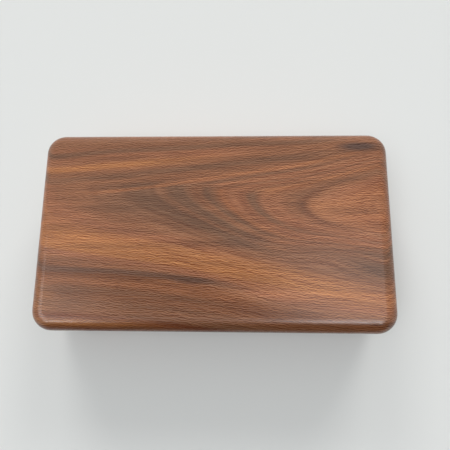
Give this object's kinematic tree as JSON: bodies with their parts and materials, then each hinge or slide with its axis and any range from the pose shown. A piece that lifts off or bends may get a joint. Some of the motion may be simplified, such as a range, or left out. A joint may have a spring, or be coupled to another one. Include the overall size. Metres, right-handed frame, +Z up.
{
  "type": "wooden fly box",
  "caption": "Flat hardwood box with rounded edges whose hinged lid opens fully flat, magnet-held, with slit foam in both halves for holding fishing flies.",
  "frame": {"origin": "middle of the wooden base's underside, on the table, midway between its front and back faces", "axes": "+X along the hinge line to the right seen from the front, +Y to the back where the hinges are, +Z up through the lid"},
  "size_m": [0.15, 0.0885, 0.034],
  "materials": {
    "wood": "satin",
    "brass": "satin",
    "nickel": "polished",
    "foam": "matte",
    "adhesive": "matte"
  },
  "bodies": {
    "base": {"base_shell": "wood", "left_hinge_base_leaf": "brass", "right_hinge_base_leaf": "brass", "left_hinge_pin": "brass", "right_hinge_pin": "brass", "left_hinge_base_screws": "brass", "right_hinge_base_screws": "brass", "base_left_magnet": "nickel", "base_right_magnet": "nickel", "base_foam": "foam", "base_foam_adhesive": "adhesive"},
    "lid": {"lid_shell": "wood", "left_hinge_lid_leaf": "brass", "right_hinge_lid_leaf": "brass", "left_hinge_lid_screws": "brass", "right_hinge_lid_screws": "brass", "lid_left_magnet": "nickel", "lid_right_magnet": "nickel", "lid_foam": "foam", "lid_foam_adhesive": "adhesive"}
  },
  "joints": [
    {"name": "lid_hinge", "type": "hinge", "parent": "base", "child": "lid", "pos_m": [0, 0.04434, 0.017], "axis": [-1, 0, 0], "range_deg": [0, 180]}
  ]
}
